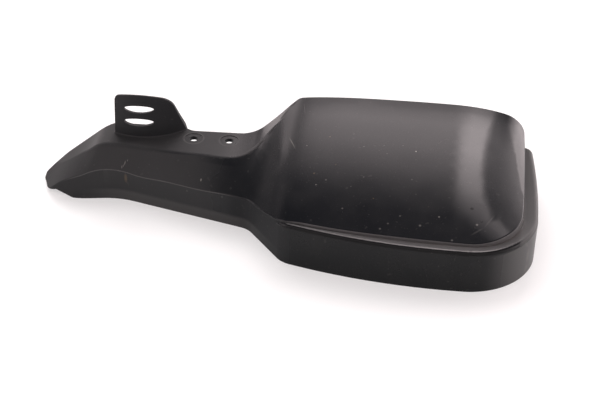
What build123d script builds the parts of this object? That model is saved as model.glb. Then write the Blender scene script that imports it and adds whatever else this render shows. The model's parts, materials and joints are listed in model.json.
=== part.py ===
from build123d import *
from math import atan, cos, degrees, radians, sin, sqrt, tan
import os

# A motorcycle hand guard, moulded in one piece: a domed shield, a tapering arm with a bolt flat, a drooping
# tip and an upright slotted tab. The origin is between the two bolt holes on the flat's face. X runs along
# the holes towards the shield, Z is the bolt axis out of the face, and Y points to the open far edge.

# Wall and rim
wall = 2.8
rim_z = -34.0
draft = 3.0
skirt = 16.0
crease_radius = 4.0
edge_radius = 1.0
ledge_radius = 2.5

# Bolt flat: the saddle over the arm, flat in the middle, drooping to the tip and rising into the shield
flat_left = -64.0
flat_right = 15.0
droop_radius = 18.0
droop_angle = 38.5
droop_length = 80.0
rise_radius = 70.0
rise_sweep = 55.0

# Bolt holes and their shallow round seats
bolt_spacing = 23.0
bolt_hole = 5.5
seat_diameter = 12.0
seat_depth = 0.35

# Crown: each cross section is an arc of one radius, set by a point on the near crease and its slope there
crown_radius = 390.0
crown_sections = [
    # x, near y, near z, slope
    (-118, -24.5, -40.5, 0.24),
    (-101, -25.4, -28.4, 0.20),
    (-95, -25.9, -23.5, 0.22),
    (-88, -26.1, -19.4, 0.32),
    (-81, -25.7, -16.5, 0.54),
    (-75, -24.9, -14.2, 0.84),
    (-69, -24.0, -12.9, 1.05),
    (-62, -23.2, -12.6, 1.22),
    (-50, -24.0, -13.2, 1.34),
    (-25, -31.0, -13.1, 0.96),
    (0, -37.6, -12.6, 0.695),
    (20, -44.2, -12.0, 0.512),
    (29, -47.8, -12.1, 0.405),
    (36, -54.0, -11.2, 0.325),
    (42, -62.0, -10.0, 0.304),
    (48, -70.5, -8.3, 0.300),
    (54, -76.5, -6.4, 0.299),
    (62, -79.5, -5.4, 0.299),
    (78, -81.0, -5.0, 0.304),
    (115, -85.5, -5.0, 0.31),
]
crown_near = 14.0
crown_far = 150.0

# Right end of the crown: the sections flatten along a quarter ellipse
end_start = 150.0
end_length = 54.0
end_section = (-88.0, -5.0, 0.31)
end_fractions = (0.0, 0.15, 0.3, 0.45, 0.6, 0.72, 0.82, 0.9, 0.96)

# Ledge: the level step round the shield's near side and right end, running out on a ramp at its left
ledge_z = -6.0
ramp_top = 56.0
ramp_angle = 30.0
ramp_radius = 25.0
ramp_left = 47.5

# Gutter: the ledge falls back from its outer lip towards the dome
gutter_lip = 2.8
gutter_foot = 7.6
gutter_depth = 0.7

# Outline in plan at the rim: the near walls of the arm, from the tip to the elbow
tip_far = (-109.8, -0.8)
tip_bow = (-107.9, -15.5)
tip_near = (-101.5, -24.6)
droop_near = (-84.0, -27.2)
waist = (-57.0, -23.4)
elbow = (29.5, -48.2)
arm_radii = ((tip_near, 8.0), (droop_near, 40.0), (waist, 45.0), (elbow, 14.0))

# The dome of the shield and the free far edge, round the pad behind the tab and back to the tip
shield_shoulder = (52.1, -77.1)
shield_bow = (115.0, -86.7)
shield_corner = (200.7, -89.5)
shield_right_bow = (202.3, -18.0)
shield_far_corner = (200.8, 41.0)
far_bow = (120.0, 43.9)
far_shoulder = (51.2, 44.0)
far_elbow = (26.0, 11.8)
far_flat = (-13.0, 11.3)
pad_right = (-20.0, 15.2)
pad_left = (-65.0, 15.4)
far_droop = (-74.0, 10.2)
far_cut = (-96.5, 7.4)
shield_radii = ((shield_shoulder, 16.0), (shield_corner, 33.0), (shield_far_corner, 15.0))
far_radii = (
    (far_shoulder, 7.0),
    (far_elbow, 16.0),
    (far_flat, 5.0),
    (pad_right, 3.0),
    (pad_left, 3.0),
    (far_droop, 8.0),
    (far_cut, 12.0),
    (tip_far, 3.5),
)

# The wall round the shield at the rim. Its right end leans out towards the top.
rim_shoulder = (54.5, -80.2)
rim_bow = (115.0, -93.8)
rim_corner = (206.8, -95.0)
rim_right_bow = (208.5, -35.0)
rim_end = (203.8, 25.2)
rim_inside = (40.0, 25.2)
shoulder_radius = 16.0
corner_radius = 42.0
end_radius = 8.0
end_lean = 1.9
band_top = 10.0

# Rim of the near wall, cut up to the tip
foot_start = (-87.0, -34.0)
foot_end = (-98.5, -29.3)
foot_tip = (-112.0, -33.8)

# Free right edge past the end of the step, and the level that its lip comes down to
lip_near = 25.6
lip_left = 190.0
lip_z = -2.0

# Tab: a plate bent to an arc, standing on the flat and thinner towards its top, with two lens-shaped slots
tab_radius = 40.0
tab_centre = (-46.5, 37.5)
tab_wall = 2.6
tab_draft = 1.3
tab_reach = 36.0
tab_root = 1.5
root_radius = 1.0
tab_sweep = (235.0, 325.0)
tab_left = -62.0
tab_left_foot = -63.0
tab_left_top = 27.9
tab_peak = (-47.2, 30.7)
tab_right_top = (-25.9, 25.2)
tab_right_foot = -17.0
tab_radii = (((tab_left, tab_left_top), 5.0), (tab_right_top, 13.0))
slot_x = -46.2
slot_z = 15.5
slot_shift = 0.45
slot_pitch = 9.5
slot_half_length = 9.6
slot_half_height = 2.75

# Reach of cutting solids past the guard
beyond = 90.0
span = (-200.0, 250.0)

# Upward part of a face's normal that makes it a top face, or a wall
top_facing = 0.3
wall_facing = 0.1

# Distance within which an edge counts as lying at a place
close_to = 0.1


def round_corners(sketch, radii):
    """Round the corners of a sketch that lie nearest the given points."""
    for corner, radius in radii:
        fillet(sketch.vertices().sort_by_distance(corner)[0], radius)


def crown_plan(inset):
    """The outline of the arm and the dome. Moved in, it leaves the far side open."""
    with BuildSketch(Plane.XY.offset(rim_z - skirt)) as plan:
        with BuildLine():
            ThreePointArc(tip_far, tip_bow, tip_near)
            Polyline(tip_near, droop_near, waist, elbow, shield_shoulder)
            ThreePointArc(shield_shoulder, shield_bow, shield_corner)
            ThreePointArc(shield_corner, shield_right_bow, shield_far_corner)
            if inset:
                Polyline(shield_far_corner, (shield_far_corner[0], beyond), (tip_far[0], beyond), tip_far)
            else:
                ThreePointArc(shield_far_corner, far_bow, far_shoulder)
                Polyline(far_shoulder, far_elbow, far_flat, pad_right, pad_left, far_droop, far_cut, tip_far)
        make_face()
        round_corners(plan, arm_radii + shield_radii[:2] if inset else arm_radii + shield_radii + far_radii)
        offset(amount=skirt * tan(radians(draft)) - inset)
    return plan.sketch


def band_plan(height, inset):
    """The outline of the wall round the shield at a height, closed inside the dome."""
    drawn_in = (height - rim_z) * tan(radians(draft))
    lean = (height - rim_z) * tan(radians(end_lean)) + drawn_in
    corner = (rim_corner[0] + lean, rim_corner[1])
    right_bow = (rim_right_bow[0] + lean, rim_right_bow[1])
    end = (rim_end[0] + lean, rim_end[1])
    with BuildSketch(Plane.XY.offset(height)) as plan:
        with BuildLine():
            Line(elbow, rim_shoulder)
            ThreePointArc(rim_shoulder, rim_bow, corner)
            ThreePointArc(corner, right_bow, end)
            Polyline(end, rim_inside, elbow)
        make_face()
        round_corners(plan, ((rim_shoulder, shoulder_radius), (corner, corner_radius), (end, end_radius)))
        offset(amount=-drawn_in - inset, kind=Kind.INTERSECTION)
    return plan.sketch


def section(x, near_y, near_z, slope, inset, fall=1.0):
    """One cross section of the crown at x, with its roof line moved in by inset."""
    radius = crown_radius / fall
    angle = degrees(atan(slope * fall))
    lead = degrees(crown_near / radius)
    sweep = degrees(crown_far / radius)
    centre = (near_y + radius * sin(radians(angle)), near_z - radius * cos(radians(angle)))
    with BuildSketch(Plane.YZ.offset(x)) as sketch:
        with BuildLine():
            roof = CenterArc(centre, radius - inset, 90 + angle + lead, -(lead + sweep))
            near = roof @ 0
            far = roof @ 1
            Polyline(far, (far.X, -beyond), (near.X, -beyond), near)
        make_face()
    return sketch.sketch


def crown_faces(inset):
    """The cross sections of the crown from past the tip to past the shield's right end."""
    faces = [section(*row, inset) for row in crown_sections]
    length = end_length - inset
    for fraction in end_fractions:
        faces.append(section(end_start + fraction * length, *end_section, inset, sqrt(1 - fraction**2)))
    return faces


def facing_up(body):
    """The faces that form the top of a body."""
    return [face for face in body.faces() if face.normal_at(face.center()).Z > top_facing]


def facing_sideways(body):
    """The drafted faces that form the walls of a body."""
    return [face for face in body.faces() if abs(face.normal_at(face.center()).Z) < wall_facing]


def edges_between(tops, walls):
    """The edges that any of the top faces shares with any of the walls."""
    feet = [edge for face in walls for edge in face.edges()]
    rims = [edge for face in tops for edge in face.edges()]
    return [edge for edge in rims if any(edge.is_same(foot) for foot in feet)]


def crown_body(inset, rounded):
    """The arm and the dome of the shield, filled, with every outer face moved in by inset."""
    with BuildPart() as body:
        loft(crown_faces(inset))
        with BuildSketch(Plane.XZ):
            with BuildLine():
                Line((flat_right, -inset), (flat_left, -inset))
                droop = CenterArc((flat_left, -droop_radius), droop_radius - inset, 90, droop_angle)
                tip = PolarLine(droop @ 1, droop_length, 180 + droop_angle)
                rise = CenterArc((flat_right, rise_radius), rise_radius + inset, -90, rise_sweep)
                Polyline(
                    tip @ 1,
                    (span[0], -beyond),
                    (span[1], -beyond),
                    (span[1], beyond),
                    ((rise @ 1).X, beyond),
                    rise @ 1,
                )
            make_face()
        extrude(amount=2 * beyond, both=True, mode=Mode.INTERSECT)
        extrude(crown_plan(inset), amount=2 * beyond, taper=draft, mode=Mode.INTERSECT)
        if rounded:
            roof = body.faces().filter_by(GeomType.BSPLINE).sort_by(SortBy.AREA)[-1]
            saddle = [face for face in facing_up(body) if not face.is_same(roof)]
            fillet(edges_between([roof], saddle), crease_radius)
            fillet(edges_between(facing_up(body), facing_sideways(body)), edge_radius)
    return body.part


def band_body(inset, rounded):
    """The wall round the shield up to its level ledge, filled, with every outer face moved in by inset."""
    top = ledge_z - inset
    with BuildPart() as body:
        loft([band_plan(rim_z - skirt, inset), band_plan(band_top, inset)], ruled=True)
        with BuildSketch(Plane.XZ) as profile:
            ramp_drop = (ramp_top - ramp_left) * tan(radians(ramp_angle))
            with BuildLine():
                Polyline(
                    (span[1], top),
                    (ramp_top, top),
                    (ramp_left, top - ramp_drop),
                    (ramp_left, -beyond),
                    (span[1], -beyond),
                    close=True,
                )
            make_face()
            round_corners(profile, (((ramp_top, top), ramp_radius),))
        extrude(amount=2 * beyond, both=True, mode=Mode.INTERSECT)
        if rounded:
            left_end = body.faces().sort_by(Axis.X)[0]
            walls = [face for face in facing_sideways(body) if not face.is_same(left_end)]
            fillet(edges_between(facing_up(body), walls), ledge_radius)
            gutter = [band_plan(top, gutter_lip), band_plan(top - gutter_depth, gutter_foot)]
            loft(gutter, ruled=True, mode=Mode.SUBTRACT)
    return body.part


with BuildPart() as hollow:
    add(crown_body(wall, False))
    add(band_body(wall, False))

with BuildPart() as tab:
    with BuildSketch(Plane.XY.offset(-tab_root)):
        with BuildLine():
            face = CenterArc(tab_centre, tab_radius, tab_sweep[0], tab_sweep[1] - tab_sweep[0])
            back = CenterArc(tab_centre, tab_radius - tab_wall, tab_sweep[0], tab_sweep[1] - tab_sweep[0])
            Line(face @ 0, back @ 0)
            Line(face @ 1, back @ 1)
        make_face()
    extrude(amount=tab_reach, taper=tab_draft)
    with BuildSketch(Plane.XZ) as profile:
        with BuildLine():
            ThreePointArc((tab_left, tab_left_top), tab_peak, tab_right_top)
            Polyline(
                tab_right_top,
                (tab_right_foot, -tab_root),
                (tab_left_foot, -tab_root),
                (tab_left, tab_left_top),
            )
        make_face()
        round_corners(profile, tab_radii)
    extrude(amount=beyond, both=True, mode=Mode.INTERSECT)
    with BuildSketch(Plane.XZ):
        lower = (slot_x - slot_shift / 2, slot_z - slot_pitch / 2)
        upper = (slot_x + slot_shift / 2, slot_z + slot_pitch / 2)
        with Locations(lower, upper):
            Ellipse(slot_half_length, slot_half_height)
    extrude(amount=beyond, both=True, mode=Mode.SUBTRACT)
    extrude(crown_plan(0), amount=2 * beyond, taper=draft, mode=Mode.INTERSECT)

with BuildPart() as hand_guard:
    add(crown_body(0, True))
    add(band_body(0, True))
    add(hollow.part, mode=Mode.SUBTRACT)
    split(bisect_by=Plane.XY.offset(rim_z), keep=Keep.TOP)
    # Rim cut up to the tip
    with BuildSketch(Plane.XZ):
        with BuildLine():
            Polyline(foot_start, foot_end, foot_tip, (foot_start[0], -beyond), close=True)
        make_face()
    extrude(amount=beyond, both=True, mode=Mode.SUBTRACT)
    # Free right edge
    with BuildSketch(Plane.XY.offset(lip_z)):
        with BuildLine():
            Polyline(
                (lip_left, lip_near),
                (span[1], lip_near),
                (span[1], beyond),
                (lip_left, beyond),
                close=True,
            )
        make_face()
    extrude(amount=-beyond, mode=Mode.SUBTRACT)
    add(tab.part)
    # Root of the tab's face and left side on the flat
    level = hand_guard.edges().filter_by_position(Axis.Z, -close_to, close_to)
    front = [edge for edge in level.filter_by(GeomType.CIRCLE) if abs(edge.radius - tab_radius) < close_to]
    lines = level.filter_by(GeomType.LINE)
    side = [edge for edge in lines if abs(edge.center().X - tab_left_foot) < close_to]
    fillet(front + side, root_radius)
    # Bolt holes
    with GridLocations(bolt_spacing, 0, 2, 1):
        CounterBoreHole(bolt_hole / 2, seat_diameter / 2, seat_depth, depth=2 * wall)

os.makedirs("parts", exist_ok=True)
hand_guard.part.label = "hand_guard"
export_step(hand_guard.part, "parts/hand_guard.step")
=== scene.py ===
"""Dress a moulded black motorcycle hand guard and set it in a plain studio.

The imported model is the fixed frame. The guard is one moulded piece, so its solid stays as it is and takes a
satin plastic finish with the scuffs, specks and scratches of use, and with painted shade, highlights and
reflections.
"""

from __future__ import annotations

import json
import logging
import math
from dataclasses import dataclass, field
from enum import Enum

import bmesh
import bpy
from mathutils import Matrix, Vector

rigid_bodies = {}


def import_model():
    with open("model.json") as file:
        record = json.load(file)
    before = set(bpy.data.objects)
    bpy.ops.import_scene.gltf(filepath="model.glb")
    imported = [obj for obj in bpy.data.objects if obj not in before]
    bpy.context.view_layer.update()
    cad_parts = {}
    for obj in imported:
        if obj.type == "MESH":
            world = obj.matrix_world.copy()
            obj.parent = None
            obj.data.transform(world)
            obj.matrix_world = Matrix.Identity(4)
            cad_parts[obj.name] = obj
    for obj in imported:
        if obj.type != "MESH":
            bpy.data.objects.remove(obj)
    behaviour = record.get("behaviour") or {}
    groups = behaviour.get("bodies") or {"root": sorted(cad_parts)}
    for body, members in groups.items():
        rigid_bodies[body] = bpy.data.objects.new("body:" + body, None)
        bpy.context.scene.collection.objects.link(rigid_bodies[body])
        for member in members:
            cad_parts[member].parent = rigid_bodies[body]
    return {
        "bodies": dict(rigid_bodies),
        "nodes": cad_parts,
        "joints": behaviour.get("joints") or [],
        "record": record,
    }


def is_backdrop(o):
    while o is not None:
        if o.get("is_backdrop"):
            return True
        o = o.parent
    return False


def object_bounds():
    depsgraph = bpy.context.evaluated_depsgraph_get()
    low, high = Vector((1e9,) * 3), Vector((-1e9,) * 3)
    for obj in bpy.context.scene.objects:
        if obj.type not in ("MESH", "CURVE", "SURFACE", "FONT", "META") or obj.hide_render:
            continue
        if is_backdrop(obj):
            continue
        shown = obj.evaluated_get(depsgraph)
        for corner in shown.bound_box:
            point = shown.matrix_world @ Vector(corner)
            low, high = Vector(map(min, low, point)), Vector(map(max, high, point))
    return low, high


LOG = logging.getLogger("hand_guard")
MM = 0.001
HALF_TURN = 180.0
FULL_TURN = 360.0
RAMP_MIDDLE = 0.5

Colour = tuple[float, float, float]
Point = tuple[float, float, float]
Stops = tuple[tuple[float, float], ...]
Edges = tuple[float, float, float, float]
Range = tuple[float, float, float, float]
Socket = bpy.types.NodeSocket


class RayKind(Enum):
    """The kinds of ray that see the floor as a plain white ground."""

    CAMERA = "Is Camera Ray"
    GLOSSY = "Is Glossy Ray"
    TRANSMISSION = "Is Transmission Ray"


class MarkKind(Enum):
    """The kinds of mark on the plastic, each with its colour. Most are wear, but the dark lines where the arm
    rises to the shield are painted shade and the scuff lines on the right corner are painted highlights.
    """

    PALE = (0.30, 0.29, 0.27)
    SCUFF = (0.15, 0.145, 0.14)
    EARTH = (0.085, 0.065, 0.045)
    DARK = (0.003, 0.003, 0.0035)


class Measure(Enum):
    """The measures of a surface point that bound a zone of the finish.

    The first three are places in the guard's frame, in millimetres. The last two are parts of the surface's
    normal, from -1 to 1.
    """

    ACROSS = "along the arm to the shield"
    ALONG = "towards the shield's far edge"
    UP = "height over the bolt flat"
    AWAY = "turned to the far edge"
    FACING = "turned up"


def opaque(colour: Colour) -> tuple[float, float, float, float]:
    """Add a full alpha to a colour."""
    return colour + (1.0,)


class NodeSheet:
    """Adds and joins the nodes of one node tree."""

    NUMBER_INPUTS = (2, 3)
    NUMBER_OUTPUT = 0
    COLOUR_INPUTS = (6, 7)
    COLOUR_OUTPUT = 2

    def __init__(self, tree: bpy.types.NodeTree) -> None:
        """Start from an empty tree.

        Args:
            tree: The node tree to fill. Its default nodes are removed.
        """
        self.tree = tree
        tree.nodes.clear()

    def add(self, kind: str, **settings: object) -> bpy.types.Node:
        """Add a node.

        Args:
            kind: The node's type name.
            settings: Properties to set on the node.

        Returns:
            The new node.
        """
        node = self.tree.nodes.new(kind)
        for name, value in settings.items():
            setattr(node, name, value)
        return node

    def join(self, source: Socket, target: Socket) -> None:
        """Link one socket to another."""
        self.tree.links.new(source, target)

    def feed(self, socket: Socket, value: object) -> None:
        """Link or set an input.

        Args:
            socket: The input.
            value: A socket to link, or a plain value.
        """
        if isinstance(value, Socket):
            self.join(value, socket)
        else:
            socket.default_value = value

    def math(self, operation: str, first: object, second: object = 0.0) -> Socket:
        """Add a Math node.

        Args:
            operation: The node's operation.
            first: Its first input, a socket or a number.
            second: Its second input, a socket or a number.

        Returns:
            The result's socket.
        """
        node = self.add("ShaderNodeMath", operation=operation)
        self.feed(node.inputs[0], first)
        self.feed(node.inputs[1], second)
        return node.outputs[0]

    def fold(self, operation: str, values: tuple[object, ...]) -> Socket:
        """Join values by one operation, from the first to the last.

        Args:
            operation: The Math node's operation.
            values: Sockets or numbers, the first of them a socket.

        Returns:
            The result's socket.
        """
        total = values[0]
        for value in values[1:]:
            total = self.math(operation, total, value)
        return total

    def product(self, *factors: object) -> Socket:
        """Multiply sockets or numbers together."""
        return self.fold("MULTIPLY", factors)

    def largest(self, *values: object) -> Socket:
        """Take the largest of sockets or numbers."""
        return self.fold("MAXIMUM", values)

    def total(self, *terms: object) -> Socket:
        """Add sockets or numbers together."""
        return self.fold("ADD", terms)

    def split(self, vector: Socket) -> list[Socket]:
        """Split a vector into its three parts.

        Args:
            vector: The vector's socket.

        Returns:
            The sockets of its X, Y and Z.
        """
        node = self.add("ShaderNodeSeparateXYZ")
        self.join(vector, node.inputs[0])
        return list(node.outputs)

    def ramp(self, factor: Socket, stops: Stops) -> Socket:
        """Add a grey ramp.

        Args:
            factor: The input from 0 to 1.
            stops: Pairs of position and grey level.

        Returns:
            The ramp's colour socket.
        """
        node = self.add("ShaderNodeValToRGB")
        elements = node.color_ramp.elements
        while len(elements) > 1:
            elements.remove(elements[-1])
        elements[0].position = stops[0][0]
        elements[0].color = opaque((stops[0][1],) * 3)
        for position, level in stops[1:]:
            elements.new(position).color = opaque((level,) * 3)
        self.join(factor, node.inputs["Fac"])
        return node.outputs["Color"]

    def span(self, value: Socket, low: float, high: float, to_low: object, to_high: object) -> Socket:
        """Map a value from one range to another, smoothly and held at both ends.

        Args:
            value: The input socket.
            low: Where the input range starts.
            high: Where the input range ends.
            to_low: The result at the start, a number or a socket.
            to_high: The result at the end, a number or a socket.

        Returns:
            The result's socket.
        """
        node = self.add("ShaderNodeMapRange", interpolation_type="SMOOTHSTEP")
        for index, entry in enumerate((value, low, high, to_low, to_high)):
            self.feed(node.inputs[index], entry)
        return node.outputs[0]

    def window(self, value: Socket, edges: Edges) -> Socket:
        """Map a value to 1 inside a window with soft edges, and to 0 outside it.

        Args:
            value: The input socket.
            edges: Where it starts to rise, is full, starts to fall and is gone.

        Returns:
            The result's socket.
        """
        rise = self.span(value, edges[0], edges[1], 0.0, 1.0)
        fall = self.span(value, edges[2], edges[3], 1.0, 0.0)
        return self.product(rise, fall)

    def noise(self, place: Socket, scale: float, detail: float) -> Socket:
        """Add a noise texture.

        Args:
            place: The coordinates in millimetres.
            scale: Features per millimetre.
            detail: How many finer layers it has.

        Returns:
            The grey socket.
        """
        node = self.add("ShaderNodeTexNoise")
        self.join(place, node.inputs["Vector"])
        node.inputs["Scale"].default_value = scale
        node.inputs["Detail"].default_value = detail
        return node.outputs[0]

    def blend(self, factor: Socket, first: Colour | Socket, second: Colour | Socket) -> Socket:
        """Mix two colours.

        Args:
            factor: How much of the second colour shows.
            first: A colour or a socket.
            second: A colour or a socket.

        Returns:
            The mixed colour's socket.
        """
        node = self.add("ShaderNodeMix", data_type="RGBA")
        self.feed(node.inputs["Factor"], factor)
        for index, entry in zip(self.COLOUR_INPUTS, (first, second)):
            self.feed(node.inputs[index], entry if isinstance(entry, Socket) else opaque(entry))
        return node.outputs[self.COLOUR_OUTPUT]

    def lerp(self, factor: Socket, first: float | Socket, second: float | Socket) -> Socket:
        """Mix two numbers.

        Args:
            factor: How much of the second number counts.
            first: A number or a socket.
            second: A number or a socket.

        Returns:
            The mixed number's socket.
        """
        node = self.add("ShaderNodeMix", data_type="FLOAT")
        self.feed(node.inputs["Factor"], factor)
        for index, entry in zip(self.NUMBER_INPUTS, (first, second)):
            self.feed(node.inputs[index], entry)
        return node.outputs[self.NUMBER_OUTPUT]


@dataclass(frozen=True)
class Fade:
    """A bound of a zone that goes smoothly from one level to another.

    Attributes:
        measure: What the bound goes by.
        start: Where the change starts.
        end: Where it ends.
        from_level: The level before the start.
        to_level: The level past the end.
    """

    measure: Measure
    start: float
    end: float
    from_level: float = 0.0
    to_level: float = 1.0

    def level(self, sheet: NodeSheet, value: Socket) -> Socket:
        """Add the nodes that give the bound's level."""
        return sheet.span(value, self.start, self.end, self.from_level, self.to_level)


@dataclass(frozen=True)
class Window:
    """A bound of a zone that is full between two soft edges and 0 outside them.

    Attributes:
        measure: What the bound goes by.
        rise: Where it starts to rise.
        full: Where it is full.
        fall: Where it starts to fall.
        gone: Where it is 0 again.
    """

    measure: Measure
    rise: float
    full: float
    fall: float
    gone: float

    def level(self, sheet: NodeSheet, value: Socket) -> Socket:
        """Add the nodes that give the bound's level."""
        return sheet.window(value, (self.rise, self.full, self.fall, self.gone))


Zone = tuple[Fade | Window, ...]


class Surface:
    """The guard's surface as its material sees it: where a point is and which way it faces."""

    def __init__(self, sheet: NodeSheet) -> None:
        """Add the nodes that measure the surface.

        Args:
            sheet: The material's nodes.
        """
        self.sheet = sheet
        source = sheet.add("ShaderNodeTexCoord")
        scale = sheet.add("ShaderNodeVectorMath", operation="SCALE")
        sheet.join(source.outputs["Object"], scale.inputs[0])
        scale.inputs["Scale"].default_value = 1.0 / MM
        self.place = scale.outputs[0]
        across, along, up = sheet.split(self.place)
        _, away, facing = sheet.split(source.outputs["Normal"])
        self.measures = {
            Measure.ACROSS: across,
            Measure.ALONG: along,
            Measure.UP: up,
            Measure.AWAY: away,
            Measure.FACING: facing,
        }

    def mask(self, zone: Zone) -> Socket:
        """Make the mask of a zone, the product of its bounds."""
        return self.sheet.product(*(bound.level(self.sheet, self.measures[bound.measure]) for bound in zone))


@dataclass
class Coat:
    """The finish so far, built up layer by layer.

    Attributes:
        sheet: The material's nodes.
        colour: The colour's socket.
        rough: The roughness's socket.
    """

    sheet: NodeSheet
    colour: Socket
    rough: Socket

    def tint(self, mask: Socket, colour: Colour | Socket) -> None:
        """Lay a colour over the coat where a mask shows it."""
        self.colour = self.sheet.blend(mask, self.colour, colour)

    def dull(self, mask: Socket, roughness: float) -> None:
        """Give the coat a roughness where a mask shows it."""
        self.rough = self.sheet.lerp(mask, self.rough, roughness)


@dataclass(frozen=True)
class WearAndLightMark:
    """One scratch, speck, smear or spot, or a line of painted shade or painted highlight.

    Attributes:
        kind: What the mark is.
        start: One end on the surface, in millimetres.
        end: The other end, the same as the start for a round mark.
        width: Half the width in millimetres.
        strength: How much of the mark's colour shows.
        core: The share of the width that shows in full.
    """

    kind: MarkKind
    start: Point
    end: Point
    width: float
    strength: float
    core: float = 0.25

    def mask(self, surface: Surface) -> Socket:
        """Make the mark's soft mask.

        Args:
            surface: The guard's surface.

        Returns:
            The mask's socket.
        """
        sheet = surface.sheet
        start, end = Vector(self.start), Vector(self.end)
        line = end - start
        node = sheet.add("ShaderNodeMapping", vector_type="TEXTURE")
        sheet.join(surface.place, node.inputs["Vector"])
        node.inputs["Location"].default_value = (start + end) / 2.0
        if line.length:
            turn = Vector((1.0, 0.0, 0.0)).rotation_difference(line)
            node.inputs["Rotation"].default_value = turn.to_euler()
        node.inputs["Scale"].default_value = (line.length / 2.0 + self.width, self.width, self.width)
        size = sheet.add("ShaderNodeVectorMath", operation="LENGTH")
        sheet.join(node.outputs[0], size.inputs[0])
        return sheet.span(size.outputs["Value"], self.core, 1.0, self.strength, 0.0)


@dataclass(frozen=True)
class GuardZones:
    """Where the finish changes on the guard.

    Attributes:
        arm_end: The faded arm as far as the elbow.
        arm_tail: The last of the fading, which runs out on the shield.
        tab: The upright tab.
        tab_shade: How the tab's fading goes down towards the bolts.
        faded_slope: How the fading goes down on steep faces.
        wall: The upright wall of the shield, darkened with painted shade.
        flat: The bolt flat and the level faces near it.
        tip: The drooping tip.
        elbow: The wall where the arm turns into the shield.
        ramp: The upper part of the shield's left edge.
        brow: The painted shade along the arm's upper crease.
        far_edge: The edge that turns down at the far side, with painted shade.
        foot: The foot of the arm's wall, lightened with a painted reflection of the floor.
        crease: The crease at the top of the arm's wall, with a painted highlight along it.
        step: The step round the shield, lightened with painted light that covers its shade.
        near_side: The near side of the shield, where the gutter is open.
        gutter: The gutter's floor, with dust lightened by painted light against the dome's shade on it.
        thin_dust: The outer part of the gutter, where the dust is thin.
        lip: The gutter's lip, with a painted highlight.
        corner: The wall of the right corner, lightened with a painted reflection.
        end_ledge: The ledge at the shield's right end, with dust and a painted reflection.
        under_lip: The painted shade under the lip.
    """

    arm_end: Zone = (Fade(Measure.ACROSS, -8.0, 22.0, 0.8, 0.0),)
    arm_tail: Zone = (Fade(Measure.ACROSS, 22.0, 70.0, 0.2, 0.0),)
    tab: Zone = (Fade(Measure.UP, 0.05, 0.7), Fade(Measure.ACROSS, -20.0, -10.0, 1.0, 0.0))
    tab_shade: Zone = (Fade(Measure.ACROSS, -63.0, -40.0, 1.0, 0.42),)
    faded_slope: Zone = (Fade(Measure.FACING, 0.15, 0.5, 0.78, 1.0),)
    wall: Zone = (Fade(Measure.FACING, 0.15, 0.5, 1.0, 0.0), Fade(Measure.ACROSS, 40.0, 70.0, 0.0, 0.6))
    flat: Zone = (Window(Measure.UP, -9.0, -5.0, 1.0, 1.5), Fade(Measure.FACING, 0.80, 0.97))
    tip: Zone = (Fade(Measure.ACROSS, -66.0, -92.0),)
    elbow: Zone = (
        Window(Measure.ACROSS, 8.0, 22.0, 52.0, 66.0),
        Fade(Measure.FACING, 0.2, 0.35, 1.0, 0.0),
    )
    ramp: Zone = (Window(Measure.ACROSS, 34.0, 44.0, 50.0, 68.0), Fade(Measure.UP, 2.0, 8.0))
    brow: Zone = (
        Window(Measure.FACING, 0.82, 0.87, 0.95, 0.985),
        Window(Measure.ACROSS, -40.0, -20.0, 16.0, 30.0),
        Fade(Measure.UP, -3.0, -2.4, 0.0, 0.55),
    )
    far_edge: Zone = (Fade(Measure.AWAY, 0.10, 0.30), Fade(Measure.ACROSS, 38.0, 46.0))
    foot: Zone = (
        Fade(Measure.UP, -25.5, -28.5, 0.0, 0.55),
        Window(Measure.ACROSS, -85.0, -55.0, 15.0, 60.0),
        Fade(Measure.FACING, 0.2, 0.4, 1.0, 0.0),
    )
    crease: Zone = (
        Window(Measure.FACING, 0.05, 0.12, 0.50, 0.58),
        Fade(Measure.UP, -3.6, -2.0, 1.0, 0.0),
        Window(Measure.ACROSS, -96.0, -80.0, 6.0, 28.0),
    )
    step: Zone = (
        Window(Measure.UP, -7.0, -6.8, -3.6, -2.0),
        Fade(Measure.FACING, 0.62, 0.74, 1.0, 0.0),
        Fade(Measure.ACROSS, 46.0, 75.0),
    )
    near_side: Zone = (Fade(Measure.ACROSS, 48.0, 66.0), Fade(Measure.ALONG, -56.0, -70.0))
    gutter: Zone = (
        Window(Measure.UP, -7.4, -6.9, -5.95, -5.8),
        Fade(Measure.FACING, 0.95, 0.985, 0.0, 0.85),
    )
    thin_dust: Zone = (Fade(Measure.UP, -6.75, -6.25),)
    lip: Zone = (
        Window(Measure.UP, -6.75, -6.45, -5.95, -5.85),
        Window(Measure.FACING, 0.90, 0.94, 0.975, 0.99),
        Fade(Measure.ACROSS, 70.0, 160.0, 0.6, 1.0),
        Fade(Measure.ACROSS, 176.0, 196.0, 1.0, 0.2),
    )
    corner: Zone = (
        Fade(Measure.ACROSS, 176.0, 200.0, 0.0, 0.95),
        Fade(Measure.UP, -7.5, -10.0),
        Fade(Measure.ALONG, -48.0, -72.0, 0.1, 1.0),
        Fade(Measure.FACING, 0.2, 0.4, 1.0, 0.0),
    )
    end_ledge: Zone = (Fade(Measure.ACROSS, 197.0, 201.0), Window(Measure.UP, -9.5, -7.8, -5.2, -4.8))
    under_lip: Zone = (
        Window(Measure.FACING, 0.05, 0.20, 0.80, 0.88),
        Window(Measure.UP, -9.5, -8.5, -6.2, -6.0),
        Fade(Measure.ACROSS, 190.0, 203.0, 1.0, 0.0),
    )


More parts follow.
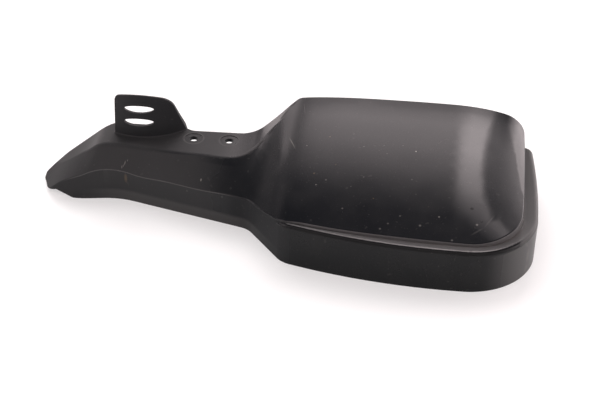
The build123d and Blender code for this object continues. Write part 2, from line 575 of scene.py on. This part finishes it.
@dataclass(frozen=True)
class SatinPlastic:
    """Black moulded plastic, faded on the arm, with rubbed bolt seats, dust and the marks of use, and with
    painted shade, highlights and reflections on its edges and walls.

    Lengths are in millimetres in the guard's own frame.
    """

    name: str = "black_plastic"
    black: Colour = (0.0070, 0.0079, 0.0098)
    # Black of painted shade, on the shield's wall, its far edge and under the gutter's lip.
    painted_shade_black: Colour = (0.0030, 0.0034, 0.0040)
    faded: Colour = (0.0285, 0.0292, 0.0304)
    # Rubbed bolt seats, and painted light: the highlight on the arm's crease and the reflections on its foot,
    # the right corner and the end ledge.
    rub_and_painted_light: Colour = (0.079, 0.079, 0.079)
    # Painted light on the step round the shield.
    painted_step_light: Colour = (0.100, 0.098, 0.099)
    # Dust in the gutter, made lighter with painted light against the dome's shade.
    gutter_dust_and_light: Colour = (0.105, 0.099, 0.096)
    thin_dust: Colour = (0.043, 0.042, 0.043)
    # Painted highlight on the gutter's lip.
    lip: Colour = (0.21, 0.205, 0.205)
    speck: Colour = (0.12, 0.117, 0.11)
    specular_level: float = 0.22
    shield_roughness: float = 0.075
    arm_roughness: float = 0.34
    flat_roughness: float = 0.60
    ramp_roughness: float = 0.34
    dusty_roughness: float = 0.45
    # How much of the dust and painted reflection shows on the end ledge.
    end_ledge_dust_and_light: float = 0.68
    bolt_place: float = 11.5
    ring: Edges = (5.4, 5.9, 6.4, 7.2)
    ring_strength: float = 0.5
    cloud_scale: float = 0.06
    cloud_detail: float = 3.0
    cloud_tint: Range = (0.35, 0.75, 0.0, 0.03)
    cloud_dulling: Range = (0.3, 0.7, -0.01, 0.02)
    large_speck_scale: float = 0.42
    large_speck_cut: Range = (0.77, 0.83, 0.0, 0.11)
    small_speck_scale: float = 1.3
    small_speck_cut: Range = (0.76, 0.83, 0.0, 0.10)
    speck_detail: float = 0.0
    grain_scale: float = 2.4
    grain_detail: float = 1.0
    grain_strength: float = 0.05
    grain_depth: float = 0.05
    zones: GuardZones = GuardZones()
    marks: tuple[WearAndLightMark, ...] = ()

    def build(self) -> bpy.types.Material:
        """Make the material.

        Returns:
            The finished material.
        """
        material = bpy.data.materials.new(self.name)
        material.use_nodes = True
        surface = Surface(NodeSheet(material.node_tree))
        arm = surface.sheet.total(surface.mask(self.zones.arm_end), surface.mask(self.zones.arm_tail))
        tab = surface.mask(self.zones.tab)
        flat = surface.sheet.product(surface.mask(self.zones.flat), arm)
        coat = self.plain_coat(surface, arm, tab)
        self.dull_faces(surface, coat, flat, tab)
        self.dark_edges(surface, coat)
        self.rubs_dust_and_painted_light(surface, coat, flat)
        self.fine_wear(surface, coat)
        self.lay_marks(surface, coat)
        self.close(surface, coat)
        return material

    def plain_coat(self, surface: Surface, arm: Socket, tab: Socket) -> Coat:
        """Make the plain finish, black and smooth on the shield, faded and duller on the arm, with painted
        shade on the shield's wall.

        Args:
            surface: The guard's surface.
            arm: The mask of the arm.
            tab: The mask of the tab.

        Returns:
            The first coat.
        """
        sheet = surface.sheet
        tab_shade = sheet.span(tab, 0.0, 1.0, 1.0, surface.mask(self.zones.tab_shade))
        faded = sheet.product(arm, surface.mask(self.zones.faded_slope), tab_shade)
        colour = sheet.blend(faded, self.black, self.faded)
        rough = sheet.span(arm, 0.0, 1.0, self.shield_roughness, self.arm_roughness)
        coat = Coat(sheet, colour, rough)
        # Painted shade on the shield's upright wall.
        coat.tint(surface.mask(self.zones.wall), self.painted_shade_black)
        return coat

    def dull_faces(self, surface: Surface, coat: Coat, flat: Socket, tab: Socket) -> None:
        """Dull the flat, the tip, the elbow, the tab and the shield's upper left edge.

        Args:
            surface: The guard's surface.
            coat: The finish so far.
            flat: The mask of the bolt flat.
            tab: The mask of the tab.
        """
        coat.dull(flat, self.flat_roughness)
        matt = surface.sheet.largest(surface.mask(self.zones.tip), surface.mask(self.zones.elbow), tab)
        coat.dull(matt, self.flat_roughness)
        coat.dull(surface.mask(self.zones.ramp), self.ramp_roughness)

    def dark_edges(self, surface: Surface, coat: Coat) -> None:
        """Paint shade along the arm's upper crease and on the shield's far edge.

        Args:
            surface: The guard's surface.
            coat: The finish so far.
        """
        # Painted shade along the arm's upper crease.
        coat.tint(surface.mask(self.zones.brow), self.black)
        # Painted shade on the shield's far edge, which turns down.
        far_edge = surface.mask(self.zones.far_edge)
        coat.tint(far_edge, self.painted_shade_black)
        coat.dull(far_edge, self.flat_roughness)

    def rubs_dust_and_painted_light(self, surface: Surface, coat: Coat, flat: Socket) -> None:
        """Lay the rubbed bolt seats, the dust in the gutter and the painted light and shade: highlights on the
        arm's crease and the gutter's lip, reflections on the arm's foot, the right corner and the end ledge,
        light on the step and shade under the lip.

        Args:
            surface: The guard's surface.
            coat: The finish so far.
            flat: The mask of the bolt flat.
        """
        sheet, zones = surface.sheet, self.zones
        foot, crease, step = surface.mask(zones.foot), surface.mask(zones.crease), surface.mask(zones.step)
        near = surface.mask(zones.near_side)
        gutter = sheet.product(near, surface.mask(zones.gutter))
        corner, end_ledge = surface.mask(zones.corner), surface.mask(zones.end_ledge)
        under_lip = sheet.product(near, surface.mask(zones.under_lip))

        coat.tint(sheet.product(self.seat_rings(surface), flat), self.rub_and_painted_light)
        # Painted reflection of the floor on the foot of the arm's wall.
        coat.tint(foot, self.rub_and_painted_light)
        # Painted highlight along the crease at the top of the arm's wall.
        coat.tint(crease, self.rub_and_painted_light)
        # Painted light on the step round the shield, covering its shade.
        coat.tint(step, self.painted_step_light)
        # Dust in the gutter, lightened with painted light against the dome's shade.
        coat.tint(gutter, sheet.blend(surface.mask(zones.thin_dust), self.gutter_dust_and_light, self.thin_dust))
        # Painted highlight along the gutter's lip.
        coat.tint(sheet.product(near, surface.mask(zones.lip)), self.lip)
        # Painted reflection on the wall of the right corner.
        coat.tint(corner, self.rub_and_painted_light)
        # Dust and painted reflection on the ledge at the shield's right end.
        coat.tint(sheet.product(end_ledge, self.end_ledge_dust_and_light), self.rub_and_painted_light)
        coat.dull(sheet.largest(crease, step, gutter, foot, corner, end_ledge), self.dusty_roughness)
        # Painted shade under the gutter's lip.
        coat.tint(under_lip, self.painted_shade_black)
        coat.dull(under_lip, self.ramp_roughness)

    def seat_rings(self, surface: Surface) -> Socket:
        """Make the mask of the rings that the bolts' washers rubbed.

        Args:
            surface: The guard's surface.

        Returns:
            The mask's socket.
        """
        sheet = surface.sheet
        across, along = surface.measures[Measure.ACROSS], surface.measures[Measure.ALONG]
        offset = sheet.math("SUBTRACT", sheet.math("ABSOLUTE", across), self.bolt_place)
        squares = sheet.total(sheet.math("POWER", offset, 2.0), sheet.math("POWER", along, 2.0))
        return sheet.product(sheet.window(sheet.math("SQRT", squares), self.ring), self.ring_strength)

    def fine_wear(self, surface: Surface, coat: Coat) -> None:
        """Add slight mottling and fine dust specks.

        Args:
            surface: The guard's surface.
            coat: The finish so far.
        """
        sheet, place = surface.sheet, surface.place
        cloud = sheet.noise(place, self.cloud_scale, self.cloud_detail)
        coat.tint(sheet.span(cloud, *self.cloud_tint), self.speck)
        coat.rough = sheet.total(coat.rough, sheet.span(cloud, *self.cloud_dulling))
        large = sheet.noise(place, self.large_speck_scale, self.speck_detail)
        small = sheet.noise(place, self.small_speck_scale, self.speck_detail)
        specks = sheet.largest(
            sheet.span(large, *self.large_speck_cut), sheet.span(small, *self.small_speck_cut)
        )
        coat.tint(specks, self.speck)

    def lay_marks(self, surface: Surface, coat: Coat) -> None:
        """Lay the single marks over the coat. The dark ones are dull too.

        Args:
            surface: The guard's surface.
            coat: The finish so far.
        """
        for mark in self.marks:
            mask = mark.mask(surface)
            coat.tint(mask, mark.kind.value)
            if mark.kind is MarkKind.DARK:
                coat.dull(mask, self.flat_roughness)

    def close(self, surface: Surface, coat: Coat) -> None:
        """Give the coat a fine grain and join it to the material's output.

        Args:
            surface: The guard's surface.
            coat: The finish.
        """
        sheet = surface.sheet
        bump = sheet.add("ShaderNodeBump")
        bump.inputs["Strength"].default_value = self.grain_strength
        bump.inputs["Distance"].default_value = self.grain_depth * MM
        sheet.join(sheet.noise(surface.place, self.grain_scale, self.grain_detail), bump.inputs["Height"])
        shader = sheet.add("ShaderNodeBsdfPrincipled")
        shader.inputs["Specular IOR Level"].default_value = self.specular_level
        sheet.join(coat.colour, shader.inputs["Base Color"])
        sheet.join(coat.rough, shader.inputs["Roughness"])
        sheet.join(bump.outputs["Normal"], shader.inputs["Normal"])
        output = sheet.add("ShaderNodeOutputMaterial")
        sheet.join(shader.outputs[0], output.inputs["Surface"])


def wear_and_light_marks() -> tuple[WearAndLightMark, ...]:
    """List the marks that show on the guard: wear, and lines of painted shade and painted highlight.

    Returns:
        The marks, in the guard's frame.
    """
    pale, scuff_and_highlight, earth, dark = MarkKind.PALE, MarkKind.SCUFF, MarkKind.EARTH, MarkKind.DARK
    # Lines: the kind, both ends, half the width and the strength.
    lines = (
        # Painted shade along the crease where the arm rises to the shield.
        (dark, (25.2, -15.9, 0.0), (29.0, -10.9, 0.8), 1.1, 0.45),
        (dark, (29.0, -10.9, 0.8), (35.1, 2.2, 2.6), 1.2, 0.7),
        (dark, (35.1, 2.2, 2.6), (41.5, 17.9, 5.2), 1.2, 0.8),
        (dark, (41.5, 17.9, 5.2), (47.1, 31.7, 7.7), 1.2, 0.8),
        (dark, (47.1, 31.7, 7.7), (51.0, 37.3, 9.1), 1.1, 0.7),
        (pale, (50.4, -1.9, 6.7), (56.6, -16.7, 7.0), 0.55, 0.7),
        (scuff_and_highlight, (56.0, 34.2, 10.2), (59.2, 16.4, 10.1), 0.5, 0.36),
        (pale, (-54.7, -21.2, -10.1), (-54.8, -22.4, -11.7), 0.45, 0.35),
        (pale, (-52.7, -19.4, -7.5), (-53.2, -21.2, -9.9), 0.45, 0.45),
        (pale, (-51.3, -19.1, -6.9), (-51.5, -19.7, -7.7), 0.40, 0.35),
        (pale, (-53.6, -20.8, -9.4), (-54.0, -21.9, -10.9), 0.40, 0.30),
        (earth, (-52.2, -24.0, -14.7), (-52.1, -24.4, -20.6), 1.4, 0.85),
        (pale, (-1.9, -31.8, -9.1), (-1.9, -33.2, -10.1), 0.5, 0.75),
        (scuff_and_highlight, (168.7, -82.0, -3.4), (176.8, -75.1, -1.9), 0.9, 0.16),
        (scuff_and_highlight, (176.8, -75.1, -1.9), (183.0, -63.7, 0.2), 0.9, 0.16),
        (scuff_and_highlight, (144.6, -6.8, 10.8), (148.1, -1.4, 11.3), 0.6, 0.12),
        (scuff_and_highlight, (148.1, -1.4, 11.3), (152.4, 0.2, 11.3), 0.6, 0.12),
        # Painted highlights down the right corner of the wall.
        (scuff_and_highlight, (204.2, -74.8, -16.0), (204.2, -74.8, -25.0), 2.2, 0.35),
        (scuff_and_highlight, (203.8, -75.0, -27.5), (203.2, -75.6, -31.5), 2.2, 0.30),
        (scuff_and_highlight, (202.3, -78.2, -9.0), (203.5, -76.2, -12.0), 1.6, 0.25),
    )
    # Spots: the kind, the place, half the width and the strength.
    spots = (
        (pale, (72.6, -48.1, 2.9), 0.7, 0.87),
        (dark, (73.1, -49.6, 2.6), 0.9, 0.60),
        (earth, (76.8, -3.9, 9.9), 0.8, 0.95),
        (pale, (120.5, -62.2, 0.8), 0.8, 0.95),
        (pale, (131.9, -14.7, 9.8), 0.9, 0.95),
        (pale, (149.5, -69.6, 0.2), 0.8, 0.43),
        (scuff_and_highlight, (138.5, -76.9, -2.1), 1.1, 0.58),
        (pale, (172.5, -73.3, -1.2), 1.0, 0.43),
        (dark, (171.4, -75.6, -1.7), 1.3, 0.50),
        (dark, (175.0, -70.6, -0.6), 1.3, 0.45),
        (dark, (168.9, -61.0, 1.6), 1.5, 0.75),
        (scuff_and_highlight, (-10.6, -35.8, -16.5), 0.8, 0.36),
        (scuff_and_highlight, (12.8, -42.4, -14.7), 0.8, 0.36),
        (scuff_and_highlight, (158.2, -86.2, -4.5), 0.9, 0.58),
        (scuff_and_highlight, (131.1, -40.5, 6.0), 0.8, 0.51),
        (scuff_and_highlight, (94.2, -48.5, 3.4), 0.8, 0.51),
        (scuff_and_highlight, (118.7, -55.2, 2.5), 0.9, 0.58),
        (scuff_and_highlight, (119.2, -76.4, -2.6), 1.0, 0.51),
        (scuff_and_highlight, (114.7, -80.5, -3.8), 1.0, 0.51),
        (scuff_and_highlight, (134.4, -52.7, 3.5), 0.8, 0.51),
        (scuff_and_highlight, (78.3, -43.8, 4.2), 0.8, 0.51),
        (pale, (111.5, -10.4, 9.9), 0.7, 0.43),
        (pale, (123.4, -9.4, 10.2), 0.7, 0.43),
        (pale, (63.1, -13.0, 8.1), 0.7, 0.43),
        (pale, (99.1, -12.3, 9.5), 0.7, 0.43),
        (pale, (114.0, -18.0, 9.1), 0.7, 0.43),
        (earth, (70.4, -38.5, 4.9), 0.9, 0.80),
        (earth, (83.0, -30.2, 7.3), 0.8, 0.70),
        (scuff_and_highlight, (101.3, -40.1, 5.5), 0.7, 0.50),
        (earth, (108.8, -57.6, 2.0), 0.8, 0.75),
        (scuff_and_highlight, (126.0, -70.4, -0.6), 0.8, 0.55),
        (earth, (142.7, -62.0, 1.4), 0.9, 0.70),
        (scuff_and_highlight, (90.6, -66.3, -0.6), 0.8, 0.50),
        (earth, (152.6, -47.9, 4.5), 0.8, 0.60),
    )
    marks = [WearAndLightMark(*line) for line in lines]
    marks += [WearAndLightMark(kind, place, place, width, strength) for kind, place, width, strength in spots]
    return tuple(marks)


@dataclass
class GuardShell:
    """The moulded guard itself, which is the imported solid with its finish."""

    node: str = "hand_guard"
    finish: SatinPlastic = field(default_factory=lambda: SatinPlastic(marks=wear_and_light_marks()))

    def build(self, frame: dict) -> bpy.types.Object:
        """Take the guard from the loaded frame."""
        return frame["nodes"][self.node]

    def dress(self, guard: bpy.types.Object) -> None:
        """Give the guard its finish.

        Args:
            guard: The guard's object.
        """
        material = self.finish.build()
        for slot in guard.material_slots:
            slot.material = material


@dataclass
class Floor:
    """The plain white ground that the guard lies on."""

    half_width: float = 12.0
    colour: Colour = (0.60, 0.60, 0.60)
    glow: float = 0.42

    def build(self, height: float) -> bpy.types.Object:
        """Make the floor's mesh and its object.

        Args:
            height: The level that the guard's rim rests on.

        Returns:
            The floor's object.
        """
        shape = bmesh.new()
        bmesh.ops.create_grid(shape, x_segments=1, y_segments=1, size=self.half_width)
        bmesh.ops.translate(shape, verts=shape.verts, vec=(0.0, 0.0, height))
        mesh = bpy.data.meshes.new("floor")
        shape.to_mesh(mesh)
        shape.free()
        floor = bpy.data.objects.new("floor", mesh)
        bpy.context.scene.collection.objects.link(floor)
        floor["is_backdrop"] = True
        return floor

    def dress(self, floor: bpy.types.Object) -> None:
        """Give the floor a white that still takes the guard's shadow.

        Args:
            floor: The floor's object.
        """
        material = bpy.data.materials.new("floor_white")
        material.use_nodes = True
        sheet = NodeSheet(material.node_tree)
        path = sheet.add("ShaderNodeLightPath")
        seen = sheet.largest(*(path.outputs[kind.value] for kind in RayKind))
        glow = sheet.add("ShaderNodeEmission")
        sheet.join(sheet.product(seen, self.glow), glow.inputs["Strength"])
        matt = sheet.add("ShaderNodeBsdfDiffuse")
        matt.inputs["Color"].default_value = opaque(self.colour)
        both = sheet.add("ShaderNodeAddShader")
        sheet.join(matt.outputs[0], both.inputs[0])
        sheet.join(glow.outputs[0], both.inputs[1])
        output = sheet.add("ShaderNodeOutputMaterial")
        sheet.join(both.outputs[0], output.inputs["Surface"])
        floor.data.materials.append(material)


@dataclass(frozen=True)
class Panel:
    """One low light of the studio.

    Attributes:
        around: Angles round the guard in degrees, from straight back to the right, with the level there.
        height: Heights of the direction, from 0 at the horizon to 1 overhead, with the level there.
        strength: The brightness at the full level.
    """

    around: Stops
    height: Stops
    strength: float


@dataclass
class StudioDome:
    """The studio round the guard.

    It has a soft box behind the guard with a strip light in it, low panels at the sides, a soft light over the
    viewer, and dark between them. The stops give angles in degrees with the brightness there. Angles over the
    guard run from the back horizon over the top to the front horizon, and angles round it run from straight
    back to the right.
    """

    tint: Colour = (1.0, 0.895, 0.90)
    peak: float = 6.0
    back_over: Stops = (
        (0.0, 0.10),
        (25.0, 0.20),
        (28.0, 1.4),
        (32.0, 2.8),
        (36.0, 4.1),
        (44.0, 4.0),
        (51.0, 2.8),
        (57.0, 1.3),
        (63.0, 0.46),
        (70.0, 0.36),
        (76.0, 0.10),
        (95.0, 0.0),
    )
    back_round: Stops = (
        (-62.0, 0.05),
        (-42.0, 0.16),
        (-34.0, 0.24),
        (-26.0, 0.34),
        (-18.0, 0.59),
        (-7.0, 1.0),
        (13.4, 1.0),
        (14.4, 0.56),
        (27.0, 0.48),
        (60.0, 0.4),
        (100.0, 0.3),
    )
    front_over: Stops = (
        (80.0, 0.0),
        (98.0, 0.10),
        (112.0, 0.8),
        (127.0, 1.2),
        (145.0, 0.8),
        (180.0, 0.5),
    )
    strip_over: Stops = ((27.0, 0.0), (34.0, 0.6), (43.0, 1.0), (54.0, 0.88), (60.0, 0.42), (65.0, 0.0))
    strip_round: Stops = ((1.5, 0.0), (6.5, 1.0), (13.3, 1.0), (14.4, 0.0))
    strip_strength: float = 5.2
    panels: tuple[Panel, ...] = (
        Panel(
            around=((20.5, 0.0), (28.0, 1.0), (60.0, 0.75), (95.0, 0.5), (130.0, 0.0)),
            height=((0.0, 1.0), (0.42, 1.0), (0.45, 0.40), (0.55, 0.22), (0.68, 0.12), (0.8, 0.0)),
            strength=5.6,
        ),
        Panel(
            around=((-46.0, 0.0), (-38.0, 1.0), (-22.0, 1.0), (-14.0, 0.0)),
            height=((0.04, 0.0), (0.12, 1.0), (0.40, 1.0), (0.43, 0.0)),
            strength=4.1,
        ),
        Panel(
            around=((-115.0, 0.0), (-100.0, 1.0), (-72.0, 1.0), (-58.0, 0.0)),
            height=((0.10, 0.0), (0.30, 1.0), (0.62, 1.0), (0.78, 0.0)),
            strength=1.5,
        ),
    )

    def build(self) -> None:
        """Make the world."""
        world = bpy.data.worlds.new("studio")
        world.use_nodes = True
        bpy.context.scene.world = world
        sheet = NodeSheet(world.node_tree)
        source = sheet.add("ShaderNodeTexCoord")
        right, back, up = sheet.split(source.outputs["Generated"])
        over = sheet.math("DIVIDE", sheet.math("ARCTAN2", up, back), math.pi)
        turn = sheet.math("DIVIDE", sheet.math("ARCTAN2", right, back), 2.0 * math.pi)
        turn = sheet.total(turn, RAMP_MIDDLE)
        lights = [
            sheet.product(
                self.over_ramp(sheet, over, self.back_over, self.peak),
                self.round_ramp(sheet, turn, self.back_round),
                self.peak,
            ),
            sheet.product(self.over_ramp(sheet, over, self.front_over, self.peak), self.peak),
            sheet.product(
                self.over_ramp(sheet, over, self.strip_over),
                self.round_ramp(sheet, turn, self.strip_round),
                self.strip_strength,
            ),
        ]
        for panel in self.panels:
            spread = self.round_ramp(sheet, turn, panel.around)
            lights.append(sheet.product(sheet.ramp(up, panel.height), spread, panel.strength))
        glow = sheet.add("ShaderNodeBackground")
        glow.inputs["Color"].default_value = opaque(self.tint)
        sheet.join(sheet.total(*lights), glow.inputs["Strength"])
        output = sheet.add("ShaderNodeOutputWorld")
        sheet.join(glow.outputs[0], output.inputs["Surface"])

    def over_ramp(self, sheet: NodeSheet, over: Socket, stops: Stops, peak: float = 1.0) -> Socket:
        """Add a ramp by the angle over the guard, with the peak level as white."""
        return sheet.ramp(over, tuple((angle / HALF_TURN, level / peak) for angle, level in stops))

    def round_ramp(self, sheet: NodeSheet, turn: Socket, stops: Stops) -> Socket:
        """Add a ramp by the angle round the guard, with straight back at its middle."""
        return sheet.ramp(turn, tuple((RAMP_MIDDLE + angle / FULL_TURN, level) for angle, level in stops))


def aim(thing: bpy.types.Object, place: Point, target: Point) -> None:
    """Put a lamp or a camera in its place, turned to a target.

    Args:
        thing: The lamp or the camera.
        place: Where it stands.
        target: The point that it looks at.
    """
    thing.location = place
    sight = Vector(target) - Vector(place)
    thing.rotation_euler = sight.to_track_quat("-Z", "Y").to_euler()
    bpy.context.scene.collection.objects.link(thing)


@dataclass
class TopLamp:
    """A wide soft lamp behind and over the guard that sets the plain light level."""

    place: Point = (-0.25, 0.75, 1.0)
    target: Point = (0.05, -0.02, 0.0)
    size: float = 1.2
    power: float = 9.0

    def build(self) -> bpy.types.Object:
        """Make the lamp.

        Returns:
            The lamp's object.
        """
        data = bpy.data.lights.new("top_lamp", "AREA")
        data.shape = "DISK"
        data.size = self.size
        data.energy = self.power
        lamp = bpy.data.objects.new("top_lamp", data)
        lamp.visible_camera = False
        lamp.visible_glossy = False
        aim(lamp, self.place, self.target)
        return lamp


@dataclass
class Viewer:
    """The camera, at the photograph's viewing angle."""

    place: Point = (0.166, -0.960, 0.633)
    target: Point = (0.0627, -0.0483, -0.009)
    lens: float = 108.4
    sensor: float = 36.0

    def build(self) -> bpy.types.Object:
        """Make the camera and set it as the scene's own.

        Returns:
            The camera's object.
        """
        data = bpy.data.cameras.new("viewer")
        data.lens = self.lens
        data.sensor_fit = "HORIZONTAL"
        data.sensor_width = self.sensor
        camera = bpy.data.objects.new("viewer", data)
        aim(camera, self.place, self.target)
        bpy.context.scene.camera = camera
        return camera


def main() -> None:
    """Build the guard and its studio in order."""
    logging.basicConfig(level=logging.INFO, format="%(name)s: %(message)s")
    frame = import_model()
    solid_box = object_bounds()
    shell = GuardShell()
    guard = shell.build(frame)
    shell.dress(guard)
    LOG.info("guard %s: %d faces", guard.name, len(guard.data.polygons))
    floor_maker = Floor()
    floor = floor_maker.build(solid_box[0][2])
    floor_maker.dress(floor)
    LOG.info("floor at %.4f m", solid_box[0][2])
    StudioDome().build()
    lamp = TopLamp().build()
    LOG.info("lamp %s at %.1f W", lamp.name, lamp.data.energy)
    camera = Viewer().build()
    LOG.info("camera %s with a %.1f mm lens", camera.name, camera.data.lens)
    bpy.context.scene.view_settings.view_transform = "Standard"


if __name__ == "__main__":
    main()
